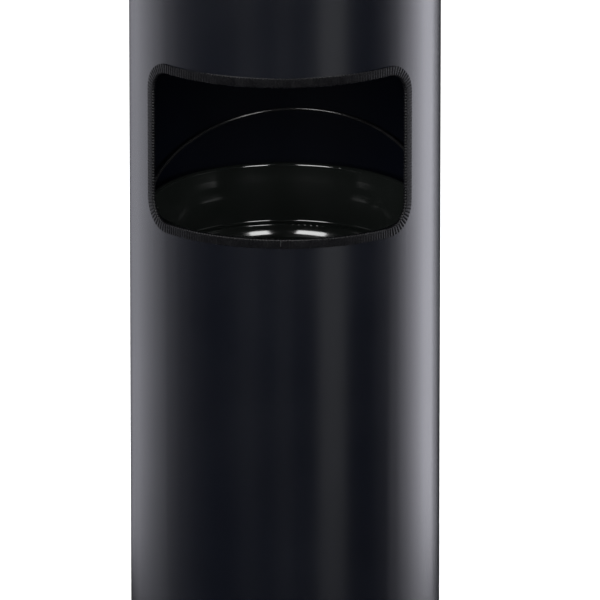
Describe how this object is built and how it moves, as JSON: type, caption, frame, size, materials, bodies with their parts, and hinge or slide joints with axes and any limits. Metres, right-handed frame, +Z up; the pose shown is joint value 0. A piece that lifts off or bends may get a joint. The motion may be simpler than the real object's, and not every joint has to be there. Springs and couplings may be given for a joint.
{
  "type": "ashtray bin",
  "caption": "Free-standing round steel ashtray bin with a trimmed side opening, a lift-out bowl with a wire bail and a lift-off lid.",
  "frame": {"origin": "centre of the underside, on the floor", "axes": "+Z up along the tube's axis, -Y out of the side opening, +X to the right seen from the front"},
  "size_m": [0.266, 0.266, 0.646],
  "materials": {
    "powder_black": "satin powder coat, fine texture",
    "enamel_black": "gloss",
    "trim_rubber": "matt, ribbed",
    "spring_steel": "plain",
    "zinc_steel": "zinc plated",
    "wire_black": "gloss black coat on drawn wire",
    "knob_plastic": "satin moulded",
    "ring_plastic": "matt moulded",
    "seal_rubber": "soft foam rubber"
  },
  "bodies": {
    "casing": {"tube_shell": "powder_black", "aperture_trim": "trim_rubber", "trim_core": "spring_steel", "bracket_rear": "powder_black", "bracket_left": "powder_black", "bracket_right": "powder_black", "base_plate": "powder_black", "base_rivets": "zinc_steel", "floor_ring": "ring_plastic"},
    "bowl": {"bowl": "enamel_black", "ear_left": "enamel_black", "ear_right": "enamel_black", "ear_rivets": "enamel_black"},
    "bail": {"bail": "wire_black"},
    "lid": {"lid_cap": "powder_black", "lid_ring": "powder_black", "lid_seal": "seal_rubber", "lid_knob": "knob_plastic", "knob_screw": "zinc_steel", "knob_washer": "zinc_steel"}
  },
  "joints": [
    {"name": "lid_lift", "type": "slide", "parent": "casing", "child": "lid", "axis": [0, 0, 1], "range_m": [0, 0.12]},
    {"name": "bowl_lift", "type": "slide", "parent": "casing", "child": "bowl", "axis": [0, 0, 1], "range_m": [0, 0.07]},
    {"name": "bail_swing", "type": "hinge", "parent": "bowl", "child": "bail", "pos_m": [0, 0, 0.3714], "axis": [0.9983, -0.0576, 0], "range_deg": [0, 134]}
  ]
}
